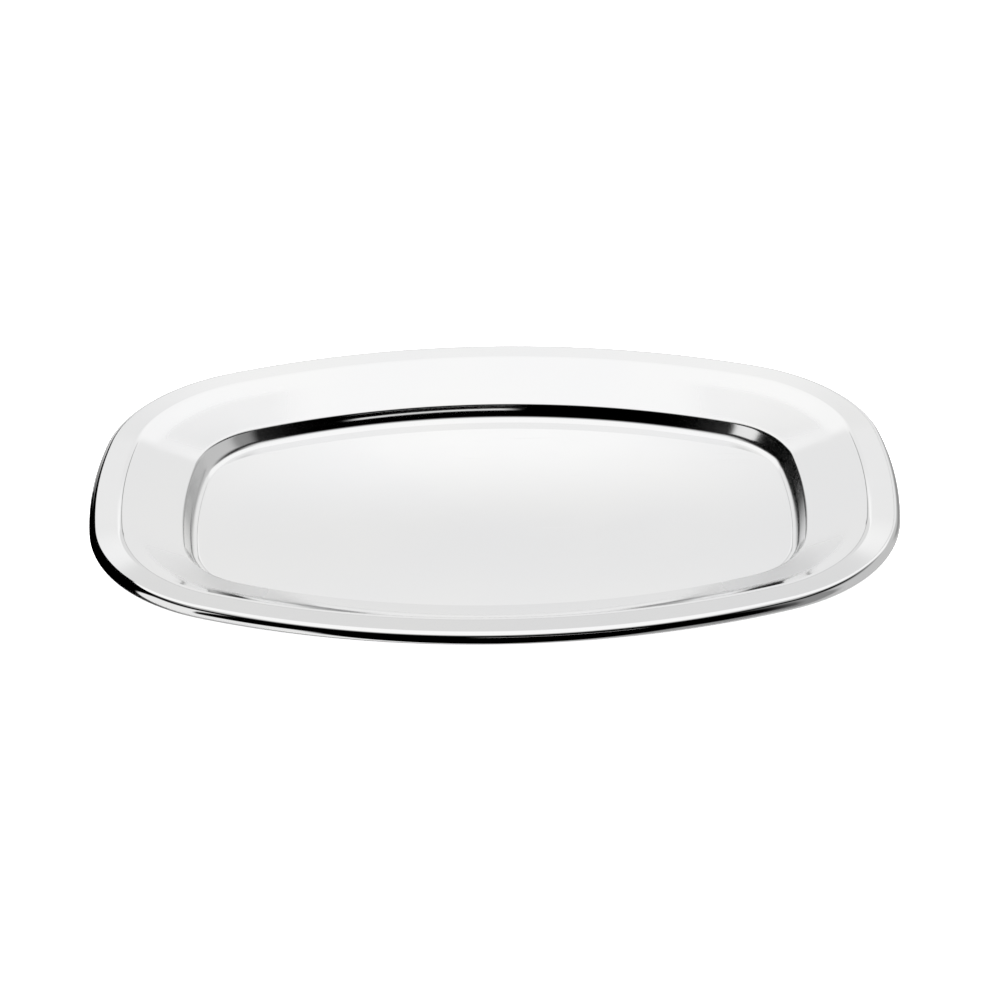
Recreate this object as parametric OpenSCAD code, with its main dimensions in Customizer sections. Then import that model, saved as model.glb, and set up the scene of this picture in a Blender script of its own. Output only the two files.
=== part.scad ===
// Oblong serving tray: one pressed sheet of steel with a shallow well, a wide sloping rim
// and an edge that is rolled round a reinforcing wire.
// X runs along the tray, Z is up, and the underside of the well rests on Z = 0.

/* [Outline] */
// Length over the rolled edge
tray_length = 450; // [430:2:470]
// Width over the rolled edge
tray_width = 327; // [320:1:334]
// Radius of the bowed long sides, at the middle of the rolled edge
side_r = 420; // [400:5:450]
// Radius of the bowed ends, at the middle of the rolled edge
end_r = 378; // [350:2:400]
// Radius of the four corners, at the middle of the rolled edge
corner_r = 101; // [96:1:106]

/* [Section] */
// Height from the underside of the well to the top of the rolled edge
tray_height = 23; // [21:0.5:26]
// Thickness of the sheet
sheet = 0.8; // [0.6:0.1:1]
// Depth of the well, from the brow of its wall down to its floor
well_depth = 8.6; // [7.6:0.2:10]
// Slope of the well's wall from the level
wall_slope = 60; // [55:1:68]
// Width of the rim, from the brow of the well's wall to the middle of the rolled edge
rim_width = 47.2; // [44:0.2:49]
// Width of the nearly level band between the rim's crease and the middle of the rolled edge
band_width = 13.6; // [11:0.2:16]
// Rise of the band from the level
band_slope = 3; // [1:0.5:5]
// How much steeper the rim starts at the well than it ends at the crease
rim_bow = 2.5; // [1:0.5:6]

/* [Bends] */
// Radius of the bend between the floor and the wall
foot_r = 7; // [4:0.5:9]
// Radius of the bend over the brow of the wall
brow_r = 2.6; // [1.5:0.1:4]
// Radius of the bend along the crease
crease_r = 14; // [6:1:20]

/* [Rolled edge] */
// Outside diameter of the rolled edge
roll_d = 7.4; // [6:0.1:8]
// Angle that the sheet turns through round the wire
roll_turn = 300; // [250:5:305]
// Gap between the wire and the sheet round it
wire_gap = 0.05; // [0.04:0.01:0.1]

/* [Hidden] */

bend_step = 24;      // largest turn between two points of a bend
roll_step = 20;      // largest turn between two points of the roll
arc_error = 0.2;     // how far a straight step along the outline may stray from its arc
wire_sides = 12;     // sides of the wire's section
strip_width = 6;     // level strip between the wall's foot and the first point of the section

// Outline: eight arcs that meet smoothly, given by their centres in the first quadrant
half_length = (tray_length - roll_d) / 2;
half_width = (tray_width - roll_d) / 2;
side_centre = [0, half_width - side_r];
end_centre = [half_length - end_r, 0];
centre_gap = norm(end_centre - side_centre);
toward_end = (end_centre - side_centre) / centre_gap;
side_reach = side_r - corner_r;
end_reach = end_r - corner_r;
along = (side_reach ^ 2 - end_reach ^ 2 + centre_gap ^ 2) / (2 * centre_gap);
across = sqrt(side_reach ^ 2 - along ^ 2);
corner_centre = side_centre + along * toward_end + across * [toward_end.y, -toward_end.x];
end_turn = atan2(corner_centre.y - end_centre.y, corner_centre.x - end_centre.x);
side_turn = atan2(corner_centre.y - side_centre.y, corner_centre.x - side_centre.x);

// Each arc: centre, radius, first and last angle, going anticlockwise round the tray
ARCS = [
    [end_centre, end_r, -end_turn, end_turn],
    [corner_centre, corner_r, end_turn, side_turn],
    [side_centre, side_r, side_turn, 180 - side_turn],
    [mirrored(corner_centre, -1, 1), corner_r, 180 - side_turn, 180 - end_turn],
    [-end_centre, end_r, 180 - end_turn, 180 + end_turn],
    [-corner_centre, corner_r, 180 + end_turn, 180 + side_turn],
    [-side_centre, side_r, 180 + side_turn, 360 - side_turn],
    [mirrored(corner_centre, 1, -1), corner_r, 360 - side_turn, 360 - end_turn]
];

// Section: corners of the sheet's middle line, as [distance out from the rolled edge, height]
roll_mid_r = (roll_d - sheet) / 2;
roll_z = tray_height - roll_d / 2;
floor_z = sheet / 2;
brow = [-rim_width, floor_z + well_depth];
foot = [brow.x - well_depth / tan(wall_slope), floor_z];
band_end = [-roll_mid_r * sin(band_slope), roll_z + roll_mid_r * cos(band_slope)];
crease = band_end - (band_width + band_end.x) * [1, tan(band_slope)];
rim_slope = atan2(crease.y - brow.y, crease.x - brow.x);
rim_run = norm(crease - brow);
rim_top = brow + rim_run / 2 / cos(rim_bow / 2) * direction(rim_slope + rim_bow / 2);
rim_r = rim_run / 2 / tan(rim_bow / 2) * 0.7;
strip = foot - [strip_width + foot_r * tan(wall_slope / 2), 0];

function mirrored(p, x, y) = [p.x * x, p.y * y];
function direction(a) = [cos(a), sin(a)];
function heading(p, q) = atan2(q.y - p.y, q.x - p.x);

// Points of the bend of radius r at the corner b of the path a, b, c, as [x, z, heading]
function bend(a, b, c, r) =
    let (
        h0 = heading(a, b),
        turn = heading(b, c) - h0,
        side = turn > 0 ? 1 : -1,
        start = b - r * tan(abs(turn) / 2) * direction(h0),
        centre = start + side * r * direction(h0 + 90),
        steps = max(2, ceil(abs(turn) / bend_step))
    )
    [for (i = [0:steps]) let (h = h0 + turn * i / steps)
        concat(centre - side * r * direction(h + 90), h)];

// Points of the roll, which starts level with the band and turns down and under
function roll(steps) =
    [for (i = [0:steps]) let (h = band_slope - roll_turn * i / steps)
        concat([0, roll_z] + roll_mid_r * direction(h + 90), h)];

middle_line = concat(
    [concat(strip, 0)],
    bend(strip, foot, brow, foot_r),
    bend(foot, brow, rim_top, brow_r),
    bend(brow, rim_top, crease, rim_r),
    bend(rim_top, crease, band_end, crease_r),
    roll(ceil(roll_turn / roll_step))
);

// One face of the sheet, at the given height above its middle line
function face(rise) = [for (p = middle_line) [p.x, p.y] + rise * direction(p.z + 90)];
function backwards(list) = [for (i = [len(list) - 1:-1:0]) list[i]];

// An even number of steps along an arc, so that one point lies at its middle
function arc_steps(arc) =
    2 * ceil((arc[3] - arc[2]) * PI / 360 * arc[1] / sqrt(8 * arc[1] * arc_error));

// Stations round the outline, each a point on it and the angle that it faces
STATIONS = [for (arc = ARCS) let (steps = arc_steps(arc)) for (i = [0:steps - 1])
    let (a = arc[2] + (arc[3] - arc[2]) * i / steps)
    [arc[0] + arc[1] * direction(a), a]];

function place(station, p) =
    let (at = station[0] + p.x * direction(station[1]))
    [at.x, at.y, p.y];

// Carries a section round the outline. A strip, whose first and last points don't meet, is
// closed by two level faces across the tray: one joins its first points, one its last.
module round_the_outline(section, is_strip) {
    count = len(section);
    rings = len(STATIONS);
    walls = [for (j = [0:rings - 1]) for (i = [0:count - (is_strip ? 2 : 1)])
        let (next_j = (j + 1) % rings, next_i = (i + 1) % count)
        [j * count + i, next_j * count + i, next_j * count + next_i, j * count + next_i]];
    top_face = [for (j = [rings - 1:-1:0]) j * count];
    bottom_face = [for (j = [0:rings - 1]) j * count + count - 1];
    polyhedron(
        points = [for (station = STATIONS) for (p = section) place(station, p)],
        faces = is_strip ? concat(walls, [top_face, bottom_face]) : walls
    );
}

module tray_pan() {
    color("gainsboro")
        round_the_outline(concat(face(sheet / 2), backwards(face(-sheet / 2))), true);
}

module rim_wire() {
    wire_r = roll_d / 2 - sheet - wire_gap;
    section = [for (i = [0:wire_sides - 1])
        [0, roll_z] + wire_r * direction(-360 * i / wire_sides)];
    color("darkgray")
        round_the_outline(section, false);
}

tray_pan();
rim_wire();
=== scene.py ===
"""Oblong serving tray of polished stainless steel, with its edge rolled round a wire."""

import math

import bpy
import numpy as np
from mathutils import Matrix, Vector


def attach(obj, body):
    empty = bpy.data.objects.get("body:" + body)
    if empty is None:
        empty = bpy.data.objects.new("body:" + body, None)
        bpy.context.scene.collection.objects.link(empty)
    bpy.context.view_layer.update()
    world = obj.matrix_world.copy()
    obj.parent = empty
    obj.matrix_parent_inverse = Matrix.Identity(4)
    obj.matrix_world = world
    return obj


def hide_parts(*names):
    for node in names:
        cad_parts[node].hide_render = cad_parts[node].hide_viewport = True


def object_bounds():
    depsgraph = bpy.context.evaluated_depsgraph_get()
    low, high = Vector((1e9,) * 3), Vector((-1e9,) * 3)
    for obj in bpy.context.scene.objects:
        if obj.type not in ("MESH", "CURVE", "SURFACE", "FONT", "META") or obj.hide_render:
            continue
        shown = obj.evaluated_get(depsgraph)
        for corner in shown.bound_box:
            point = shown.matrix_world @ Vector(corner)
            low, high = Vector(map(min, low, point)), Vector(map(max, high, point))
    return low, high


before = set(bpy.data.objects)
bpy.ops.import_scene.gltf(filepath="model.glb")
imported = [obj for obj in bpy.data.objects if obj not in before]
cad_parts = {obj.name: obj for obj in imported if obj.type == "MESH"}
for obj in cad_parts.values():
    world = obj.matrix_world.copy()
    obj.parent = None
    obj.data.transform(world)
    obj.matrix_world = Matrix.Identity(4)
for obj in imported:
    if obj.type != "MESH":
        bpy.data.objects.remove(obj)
cad_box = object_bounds()

MM = 0.001

# ---------------------------------------------------------------- driving dimensions, in mm
cad_size = (cad_box[1] - cad_box[0]) / MM
LENGTH, WIDTH, HEIGHT = round(cad_size.x), round(cad_size.y), round(cad_size.z)
SIDE_R, END_R, CORNER_R = 420.0, 378.0, 101.0
SHEET = 0.8
WELL_DEPTH = 8.6
WALL_SLOPE = 60.0
WALL_BOW = 3.0
RIM_WIDTH = 47.2
BAND_WIDTH = 13.6
BAND_SLOPE = 3.0
RIM_BOW = 2.5
FOOT_R, WALL_R, BROW_R, CREASE_R = 7.0, 60.0, 2.6, 14.0
ROLL_R = 3.7
ROLL_TURN = 300.0
WIRE_GAP = 0.05
MID_WALL = 0.62      # how far up the wall its slight bend lies, as a share of the wall
RIM_BEND = 0.7       # share of the rim that its bow takes up

# ---------------------------------------------------------------- fineness of the meshes
OUTLINE_POINTS = 720
BEND_STEP = 3.0
ROLL_STEP = 6.0
RUN_STEP = 2.0
FLOOR_STRIP = 12.0   # level strip between the wall's foot and the first point of the section
WIRE_SIDES = 32
FLOOR_RINGS = 12


def direction(angle):
    return np.array([math.cos(math.radians(angle)), math.sin(math.radians(angle))])


def heading(start, end):
    return math.degrees(math.atan2(end[1] - start[1], end[0] - start[0]))


# ---------------------------------------------------------------- outline
def outline():
    """Points round the middle of the rolled edge and the directions that they face."""
    side_centre = np.array([0.0, WIDTH / 2 - ROLL_R - SIDE_R])
    end_centre = np.array([LENGTH / 2 - ROLL_R - END_R, 0.0])
    gap = np.linalg.norm(end_centre - side_centre)
    toward_end = (end_centre - side_centre) / gap
    side_reach, end_reach = SIDE_R - CORNER_R, END_R - CORNER_R
    along = (side_reach**2 - end_reach**2 + gap**2) / (2 * gap)
    across = math.sqrt(side_reach**2 - along**2)
    corner = side_centre + along * toward_end + across * np.array([toward_end[1], -toward_end[0]])
    end_turn = heading(end_centre, corner)
    side_turn = heading(side_centre, corner)
    arcs = [
        (end_centre, END_R, -end_turn, end_turn),
        (corner, CORNER_R, end_turn, side_turn),
        (side_centre, SIDE_R, side_turn, 180 - side_turn),
        (corner * (-1, 1), CORNER_R, 180 - side_turn, 180 - end_turn),
        (-end_centre, END_R, 180 - end_turn, 180 + end_turn),
        (-corner, CORNER_R, 180 + end_turn, 180 + side_turn),
        (-side_centre, SIDE_R, 180 + side_turn, 360 - side_turn),
        (corner * (1, -1), CORNER_R, 360 - side_turn, 360 - end_turn),
    ]
    perimeter = sum(radius * (last - first) for _, radius, first, last in arcs)
    points, facing = [], []
    for centre, radius, first, last in arcs:
        steps = round(OUTLINE_POINTS * radius * (last - first) / perimeter / 2) * 2
        for i in range(steps):
            angle = first + (last - first) * i / steps
            points.append(centre + radius * direction(angle))
            facing.append(direction(angle))
    return np.array(points), np.array(facing)


# ---------------------------------------------------------------- section of the sheet
def bend(before, corner, after, radius):
    """(point, heading) along the bend of that radius at a corner of a path."""
    first = heading(before, corner)
    turn = heading(corner, after) - first
    side = math.copysign(1, turn)
    start = corner - radius * math.tan(math.radians(abs(turn) / 2)) * direction(first)
    centre = start + side * radius * direction(first + 90)
    steps = max(4, math.ceil(abs(turn) / BEND_STEP))
    angles = [first + turn * i / steps for i in range(steps + 1)]
    return [(centre - side * radius * direction(a + 90), a) for a in angles]


def filled(path):
    """The path with its straight runs cut into short steps."""
    out = [path[0]]
    for point, angle in path[1:]:
        last, last_angle = out[-1]
        steps = max(1, round(np.linalg.norm(point - last) / RUN_STEP))
        for i in range(1, steps + 1):
            share = i / steps
            out.append((last + (point - last) * share, last_angle + (angle - last_angle) * share))
    return out


def middle_line():
    """The sheet's middle line from the floor to the end of the roll, as (distance out, height)."""
    roll_mid_r = ROLL_R - SHEET / 2
    roll_centre = np.array([0.0, HEIGHT - ROLL_R])
    floor_z = SHEET / 2
    brow = np.array([-RIM_WIDTH, floor_z + WELL_DEPTH])
    foot = np.array([brow[0] - WELL_DEPTH / math.tan(math.radians(WALL_SLOPE)), floor_z])
    band_end = roll_centre + roll_mid_r * direction(BAND_SLOPE + 90)
    band_run = (BAND_WIDTH + band_end[0]) * np.array([1, math.tan(math.radians(BAND_SLOPE))])
    crease = band_end - band_run
    slope = heading(brow, crease)
    half_run = np.linalg.norm(crease - brow) / 2
    half_bow = math.radians(RIM_BOW / 2)
    rim_top = brow + half_run / math.cos(half_bow) * direction(slope + RIM_BOW / 2)
    rim_r = RIM_BEND * half_run / math.tan(half_bow)
    inner = foot - (FLOOR_STRIP, 0)
    wall = np.linalg.norm(brow - foot)
    mid_wall = foot + MID_WALL * wall * direction(WALL_SLOPE - WALL_BOW * (1 - MID_WALL))
    path = [(inner, 0.0)]
    path += bend(inner, foot, mid_wall, FOOT_R)
    path += bend(foot, mid_wall, brow, WALL_R)
    path += bend(mid_wall, brow, rim_top, BROW_R)
    path += bend(brow, rim_top, crease, rim_r)
    path += bend(rim_top, crease, band_end, CREASE_R)
    steps = math.ceil(ROLL_TURN / ROLL_STEP)
    turns = [BAND_SLOPE - ROLL_TURN * i / steps for i in range(steps + 1)]
    path += [(roll_centre + roll_mid_r * direction(a + 90), a) for a in turns]
    return filled(path)


def face(path, rise):
    """The middle line moved out by rise, and the directions that it faces there."""
    facing = np.array([direction(angle + 90) for _, angle in path])
    return np.array([point for point, _ in path]) + rise * facing, facing * math.copysign(1, rise)


# ---------------------------------------------------------------- meshes
def swept(section, points, facing):
    """Rings of vectors: one ring for each point of the section."""
    flat = points[None] + section[:, None, :1] * facing[None]
    height = np.broadcast_to(section[:, None, 1:], (*flat.shape[:2], 1))
    return np.concatenate([flat, height], axis=2)


def bands(rings, count):
    """Quads that join each of the rings to the next one."""
    faces = []
    for low, high in zip(rings, rings[1:]):
        for i in range(count):
            j = (i + 1) % count
            faces.append((high * count + i, high * count + j, low * count + j, low * count + i))
    return faces


def new_piece(name, vertices, faces, normals, material, slot):
    mesh = bpy.data.meshes.new(name)
    mesh.from_pydata([tuple(v) for v in vertices], [], faces)
    mesh.materials.append(material)
    mesh.polygons.foreach_set("use_smooth", [True] * len(mesh.polygons))
    mesh.update()
    mesh.normals_split_custom_set_from_vertices([tuple(n) for n in normals])
    piece = bpy.data.objects.new(name, mesh)
    bpy.context.scene.collection.objects.link(piece)
    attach(piece, "root")
    return piece


def tray_mesh():
    """One closed skin: floor centre, top face, roll, underside and back to the floor centre."""
    points, facing = outline()
    path = middle_line()
    top, top_facing = face(path, SHEET / 2)
    under, under_facing = face(path, -SHEET / 2)
    rings = swept(np.concatenate([top, under[::-1]]), points, facing) * MM
    normals = swept(np.concatenate([top_facing, under_facing[::-1]]), 0 * points, facing)
    shrink = np.linspace(0, 1, FLOOR_RINGS + 1)[1:-1]
    top_floor = [rings[0] * (share, share, 1) for share in shrink]
    under_floor = [rings[-1] * (share, share, 1) for share in shrink[::-1]]
    flat = np.array([normals[0]] * len(shrink))
    rings = np.concatenate([top_floor, rings, under_floor])
    normals = np.concatenate([flat, normals, -flat])
    total, count = rings.shape[:2]
    faces = bands(range(total), count)
    top_middle, under_middle, last = total * count, total * count + 1, (total - 1) * count
    faces += [(top_middle, i, (i + 1) % count) for i in range(count)]
    faces += [(under_middle, last + (i + 1) % count, last + i) for i in range(count)]
    vertices = [*rings.reshape(-1, 3), (0, 0, SHEET * MM), (0, 0, 0)]
    return vertices, faces, [*normals.reshape(-1, 3), (0, 0, 1), (0, 0, -1)]


def wire_mesh():
    """A closed ring of round wire inside the roll."""
    points, facing = outline()
    radius = ROLL_R - SHEET - WIRE_GAP
    centre = np.array([0.0, HEIGHT - ROLL_R])
    around = np.array([direction(-360 * i / WIRE_SIDES) for i in range(WIRE_SIDES)])
    rings = swept(centre + radius * around, points, facing) * MM
    normals = swept(around, 0 * points, facing)
    faces = bands([*range(WIRE_SIDES), 0], rings.shape[1])
    return rings.reshape(-1, 3), faces, normals.reshape(-1, 3)


# ---------------------------------------------------------------- materials
class Nodes:
    """Short calls for building a node tree."""

    def __init__(self, tree):
        self.tree = tree

    def add(self, kind, **settings):
        node = self.tree.nodes.new(kind)
        for name, value in settings.items():
            setattr(node, name, value)
        return node

    def put(self, socket, value):
        if isinstance(value, bpy.types.NodeSocket):
            self.tree.links.new(value, socket)
        else:
            socket.default_value = value

    def math(self, operation, *values):
        node = self.add("ShaderNodeMath", operation=operation)
        for socket, value in zip(node.inputs, values):
            self.put(socket, value)
        return node.outputs[0]

    def smooth(self, value, low, high):
        """0 below low and 1 above high, with a soft step between."""
        node = self.add("ShaderNodeMapRange", interpolation_type="SMOOTHSTEP")
        for name, given in (("Value", value), ("From Min", low), ("From Max", high)):
            self.put(node.inputs[name], given)
        return node.outputs["Result"]

    def over(self, below, level, mask):
        """The level laid over what is below it, where the mask is 1."""
        return self.math("MULTIPLY_ADD", mask, self.math("SUBTRACT", level, below), below)

    def between(self, value, rise, fall):
        """1 between two soft steps, each given by where it starts and where it ends."""
        return self.math("SUBTRACT", self.smooth(value, *rise), self.smooth(value, *fall))

    def window(self, value, low, high, soft):
        return self.between(value, (low - soft, low + soft), (high - soft, high + soft))

    def stretched(self, place, turn, scale):
        """Coordinates turned about the vertical and then scaled, for marks that run one way."""
        node = self.add("ShaderNodeMapping")
        self.put(node.inputs["Vector"], place)
        node.inputs["Rotation"].default_value = (0, 0, math.radians(turn))
        node.inputs["Scale"].default_value = scale
        return node.outputs[0]

    def noise(self, place, scale, detail=2.0):
        node = self.add("ShaderNodeTexNoise")
        self.put(node.inputs["Vector"], place)
        node.inputs["Scale"].default_value = scale
        node.inputs["Detail"].default_value = detail
        return node.outputs["Fac"]

    def mix_colour(self, share, first, second):
        node = self.add("ShaderNodeMix", data_type="RGBA")
        self.put(node.inputs["Factor"], share)
        node.inputs["A"].default_value = (*first, 1)
        node.inputs["B"].default_value = (*second, 1)
        return [o for o in node.outputs if o.type == "RGBA"][0]

    def bump(self, height, distance, strength, under=None):
        node = self.add("ShaderNodeBump")
        self.put(node.inputs["Height"], height)
        node.inputs["Distance"].default_value = distance
        node.inputs["Strength"].default_value = strength
        if under is not None:
            self.put(node.inputs["Normal"], under)
        return node.outputs["Normal"]


def metal(name):
    """A new metal, its shader, its nodes and the place of each point of the piece."""
    material = bpy.data.materials.new(name)
    material.use_nodes = True
    shader = material.node_tree.nodes["Principled BSDF"]
    shader.inputs["Metallic"].default_value = 1
    nodes = Nodes(material.node_tree)
    return material, shader, nodes, nodes.add("ShaderNodeTexCoord").outputs["Object"]


def hairlines(nodes, place, turn, amount):
    """Long thin marks left by wiping, 1 in a mark and 0 between; amount is how many."""
    lines = nodes.noise(nodes.stretched(place, turn, (9, 1500, 900)), 1, 1)
    patch = nodes.noise(nodes.stretched(place, turn, (30, 60, 30)), 1)
    lines = nodes.smooth(lines, 0.74 - amount, 0.80 - amount)
    return nodes.math("MULTIPLY", lines, nodes.smooth(patch, 0.45, 0.65))


# Where the sheet is duller, in metres: past these distances from its middle, and between these
# heights of the well's wall and of the rim's slope
END_PART, SIDE_PART = (0.085, 0.135), (0.035, 0.07)
WALL_FOOT, WALL_BROW, RIM_CREASE = (0.0009, 0.0018), (0.0092, 0.0106), (0.0175, 0.0205)


def polished_steel():
    """Mirror polished sheet: hairlines, a faint haze, and a duller finish at the corners."""
    material, shader, nodes, place = metal("polished_steel")
    split = nodes.add("ShaderNodeSeparateXYZ")
    nodes.put(split.inputs[0], place)
    x, y, z = split.outputs
    marks = hairlines(nodes, place, 24, 0.04)
    for turn, amount in ((-31, 0.02), (78, 0.0)):
        marks = nodes.math("MAXIMUM", marks, hairlines(nodes, place, turn, amount))
    cloud = nodes.noise(place, 28, 3)
    ends = nodes.smooth(nodes.math("ABSOLUTE", x), *END_PART)
    sides = nodes.smooth(nodes.math("ABSOLUTE", y), *SIDE_PART)
    wall = nodes.between(z, WALL_FOOT, WALL_BROW)
    slope = nodes.between(z, WALL_BROW, RIM_CREASE)
    rim = nodes.math("MULTIPLY", nodes.math("MULTIPLY", sides, slope), 2.2)
    dull = nodes.math("MULTIPLY", ends, nodes.math("ADD", wall, rim))
    rough = nodes.math("MULTIPLY_ADD", cloud, 0.04, 0.02)
    rough = nodes.math("MULTIPLY_ADD", marks, 0.05, rough)
    rough = nodes.math("MULTIPLY_ADD", dull, 0.13, rough)
    nodes.put(shader.inputs["Roughness"], rough)
    tint = nodes.smooth(nodes.noise(place, 9, 2), 0.3, 0.7)
    steel = nodes.mix_colour(tint, (0.905, 0.905, 0.90), (0.89, 0.892, 0.895))
    nodes.put(shader.inputs["Base Color"], steel)
    wavy = nodes.bump(nodes.noise(place, 45, 1), 0.00001, 0.5)
    nodes.put(shader.inputs["Normal"], nodes.bump(marks, 0.000004, 0.3, wavy))
    return material


def wire_steel():
    """Plain drawn wire: grey, with fine lines of drawing and a few darker patches."""
    material, shader, nodes, place = metal("wire_steel")
    grain = nodes.noise(nodes.stretched(place, 0, (900, 900, 4000)), 1, 3)
    patch = nodes.smooth(nodes.noise(place, 120, 3), 0.35, 0.7)
    steel = nodes.mix_colour(patch, (0.44, 0.44, 0.45), (0.33, 0.32, 0.31))
    nodes.put(shader.inputs["Base Color"], steel)
    rough = nodes.math("MULTIPLY_ADD", patch, 0.15, 0.3)
    nodes.put(shader.inputs["Roughness"], nodes.math("MULTIPLY_ADD", grain, 0.1, rough))
    nodes.put(shader.inputs["Normal"], nodes.bump(grain, 0.00002, 0.6))
    return material


# ---------------------------------------------------------------- studio
# What the steel mirrors, each card painted over the ones before it: the bearing of its middle, its
# half width and the softness of its sides, its lowest and highest elevation and the softness of
# both, and its brightness. Bearing 0 is behind the tray and 90 to its right, in degrees.
CARDS = [
    (0, 400, 1, -120, -34, 10, 0.30),      # pale ground
    (-62, 34, 2, -60, 60, 8, 0.0),         # dark side on the left
    (0, 400, 1, 64, 200, 12, 0.94),        # overhead softbox
    (-12, 30, 10, -120, 2, 4, 0.45),       # pale ground behind the tray
    (58, 52, 5, -120, 40, 9, 0.52),        # light side on the right
    (37, 13, 5, -10, 14, 6, 0.27),         # with a dimmer part low down
    (120, 13, 7, -120, 42, 6, 0.24),       # its dim end
    (-114, 19, 2, -120, 38, 5, 0.80),      # white strip on the left
    (-140, 24, 4, -120, -14, 6, 0.80),     # pale ground before it
    (0, 25, 7, -1, 26, 3, 0.785),          # white sweep behind the tray
    (0, 28, 3, 20, 46, 4, 0.785),          # and its wider upper part
    (-33, 12, 5, 33, 130, 5, 0.85),        # its upper left corner
    (0, 38, 8, 33, 130, 2.5, 0.92),        # and the softbox above it
    (0, 48, 9, 46, 130, 6, 0.94),          # which grows wider higher up
    (0, 60, 12, 54, 130, 8, 0.94),
    (0, 5, 4, 28.0, 29.8, 0.9, 0.96),      # a small bright lamp low in the sweep
    (180, 29, 3, -120, 42, 6, 0.0),        # dark side at the front
    (170, 13, 2, 28.7, 30.5, 0.4, 0.66),   # a thin bright strip in it
    (8.2, 0.7, 0.3, 23, 32, 0.8, 0.20),    # dark edges of the panel behind the tray
    (-8.2, 0.7, 0.3, 23, 32, 0.8, 0.20),
]
# A dim half-oval panel with darker edges behind the tray: the bearing of its middle, the elevation
# of its top, its half width and its drop. OVAL_EDGE is where the edge starts, as a share of the way
# out from the middle.
OVAL = (0, 28.2, 8.4, 9.2)
OVAL_LEVEL, OVAL_EDGE_LEVEL, OVAL_EDGE = 0.70, 0.42, 0.86
STEEL_SHADE = 0.9  # share of the light that the steel gives back, which the levels don't count


def studio_world():
    """The cards and the panel, painted on the world's background. The camera itself sees white."""
    world = bpy.data.worlds.new("studio")
    world.use_nodes = True
    bpy.context.scene.world = world
    nodes = Nodes(world.node_tree)
    place = nodes.add("ShaderNodeTexCoord").outputs["Generated"]
    split = nodes.add("ShaderNodeSeparateXYZ")
    nodes.put(split.inputs[0], place)
    x, y, z = split.outputs
    bearing = nodes.math("MULTIPLY", nodes.math("ARCTAN2", x, y), 180 / math.pi)
    elevation = nodes.math("MULTIPLY", nodes.math("ARCSINE", z), 180 / math.pi)
    total = 0.0
    for middle, half, side_soft, low, high, soft, level in CARDS:
        turned = nodes.math("SUBTRACT", bearing, middle)
        off = nodes.math("ABSOLUTE", nodes.math("WRAP", turned, 180, -180))
        across = nodes.smooth(off, half + side_soft, half - side_soft)
        card = nodes.math("MULTIPLY", across, nodes.window(elevation, low, high, soft))
        total = nodes.over(total, level, card)
    middle, top, half, drop = OVAL
    beside = nodes.math("DIVIDE", nodes.math("SUBTRACT", bearing, middle), half)
    below = nodes.math("DIVIDE", nodes.math("SUBTRACT", top, elevation), drop)
    squares = [nodes.math("MULTIPLY", part, part) for part in (beside, below)]
    reach = nodes.math("SQRT", nodes.math("ADD", *squares))
    under = nodes.smooth(elevation, top + 0.3, top - 0.3)
    inside = nodes.smooth(reach, 1.015, 0.985)
    total = nodes.over(total, OVAL_LEVEL, nodes.math("MULTIPLY", inside, under))
    edge = nodes.window(reach, OVAL_EDGE, 1.0, 0.02)
    total = nodes.over(total, OVAL_EDGE_LEVEL, nodes.math("MULTIPLY", edge, under))
    seen = nodes.add("ShaderNodeLightPath").outputs["Is Camera Ray"]
    total = nodes.over(total, 1.0, seen)
    background = world.node_tree.nodes["Background"]
    nodes.put(background.inputs["Color"], total)
    background.inputs["Strength"].default_value = 1 / STEEL_SHADE


def studio_piece(name, vertices, faces, grey):
    """A plain piece of the studio, and its shader."""
    mesh = bpy.data.meshes.new(name)
    mesh.from_pydata(vertices, [], faces)
    piece = bpy.data.objects.new(name, mesh)
    bpy.context.scene.collection.objects.link(piece)
    material = bpy.data.materials.new(name)
    material.use_nodes = True
    mesh.materials.append(material)
    shader = material.node_tree.nodes["Principled BSDF"]
    shader.inputs["Base Color"].default_value = (grey, grey, grey, 1)
    return piece, shader


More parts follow.
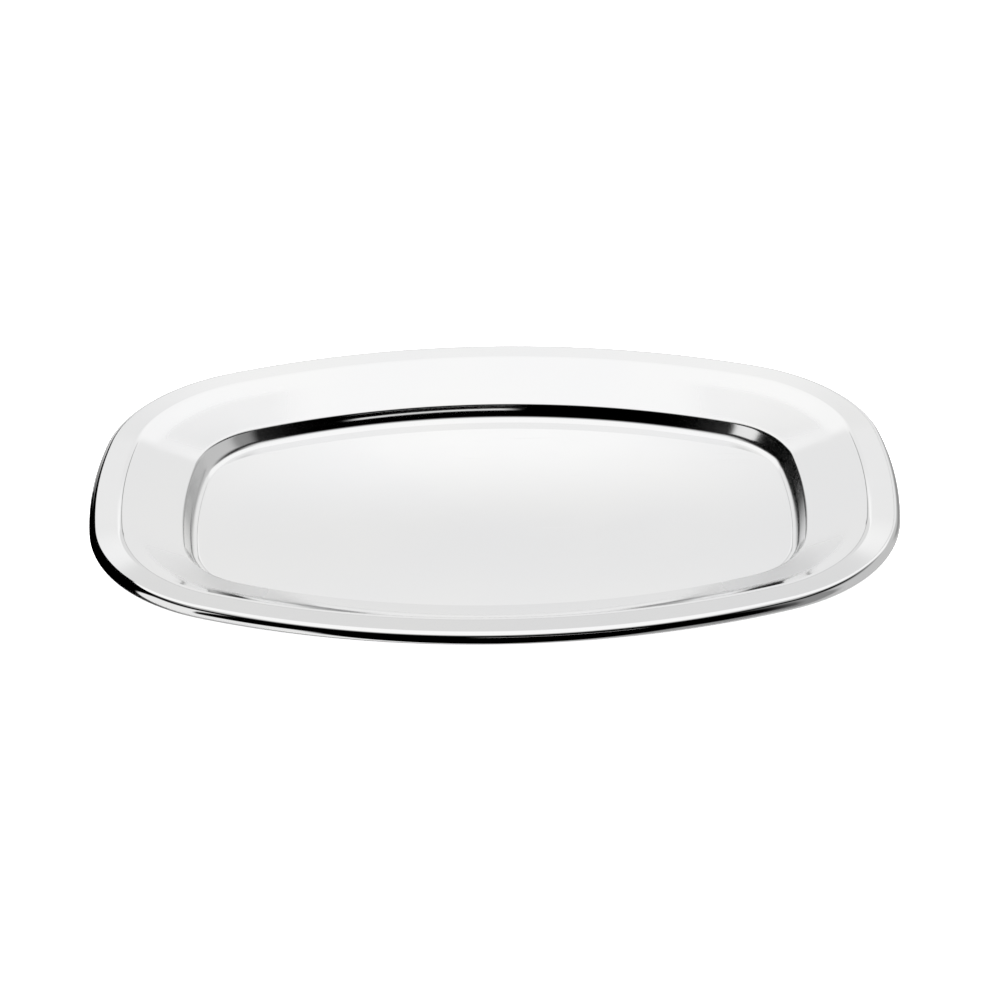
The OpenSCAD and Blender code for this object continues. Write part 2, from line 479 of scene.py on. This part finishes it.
def dark_flag():
    """A black card beside the tray, on the left and behind it, that only the steel mirrors."""
    # Corners of the card in mm: x, y, lowest and highest
    stations = [(-300, 500, 170, 440), (-427, 328, 150, 520), (-427, 328, -500, 520),
                (-560, 150, -500, 600), (-560, -65, -500, 600)]
    low = [Vector((x, y, z)) * MM for x, y, z, _ in stations]
    high = [Vector((x, y, z)) * MM for x, y, _, z in stations]
    faces = [(i, i + 1, i + 6, i + 5) for i in (0, 2, 3)]
    flag, shader = studio_piece("dark_flag", low + high, faces, 0)
    shader.inputs["Specular IOR Level"].default_value = 0
    flag.visible_camera = flag.visible_diffuse = flag.visible_shadow = False


def pale_floor():
    """A white floor that glows a little, so that no shadow of the tray darkens it."""
    size = 6.0
    corners = [(-size, -size, 0), (size, -size, 0), (size, size, 0), (-size, size, 0)]
    floor, shader = studio_piece("floor", corners, [(0, 1, 2, 3)], 0.95)
    shader.inputs["Roughness"].default_value = 0.9
    shader.inputs["Emission Color"].default_value = (1, 1, 1, 1)
    shader.inputs["Emission Strength"].default_value = 0.9
    floor.visible_glossy = False


def soft_light():
    """One wide soft lamp straight above the tray."""
    light = bpy.data.lights.new("overhead", "AREA")
    light.shape = "SQUARE"
    light.size = 4.0
    light.energy = 260
    lamp = bpy.data.objects.new("overhead", light)
    lamp.location = (0, 0, 2.5)
    lamp.visible_glossy = False
    bpy.context.scene.collection.objects.link(lamp)


# ---------------------------------------------------------------- camera
def camera():
    """Looks down on the tray from the front at the angle of an everyday table view."""
    elevation, bearing, roll = 30.12, 0.07, 0.83
    distance, focal = 1.762, 112.9
    target = Vector((0.0031, -0.0004, 0.0088))
    e, b = math.radians(elevation), math.radians(bearing)
    ahead = Vector((math.sin(b) * math.cos(e), math.cos(b) * math.cos(e), -math.sin(e)))
    data = bpy.data.cameras.new("camera")
    data.lens = focal
    data.sensor_width = 36
    data.clip_start, data.clip_end = 0.05, 50
    view = bpy.data.objects.new("camera", data)
    turn = ahead.to_track_quat("-Z", "Y").to_matrix().to_4x4()
    place = Matrix.Translation(target - distance * ahead)
    view.matrix_world = place @ turn @ Matrix.Rotation(math.radians(-roll), 4, "Z")
    bpy.context.scene.collection.objects.link(view)
    bpy.context.scene.camera = view


camera()
studio_world()
soft_light()
dark_flag()
pale_floor()
scene = bpy.context.scene
scene.view_settings.view_transform = "Standard"
scene.view_settings.look = "None"

tray = new_piece("tray", *tray_mesh(), polished_steel(), "polished_steel")
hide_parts("tray_pan")
wire = new_piece("wire", *wire_mesh(), wire_steel(), "wire_steel")
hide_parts("rim_wire")
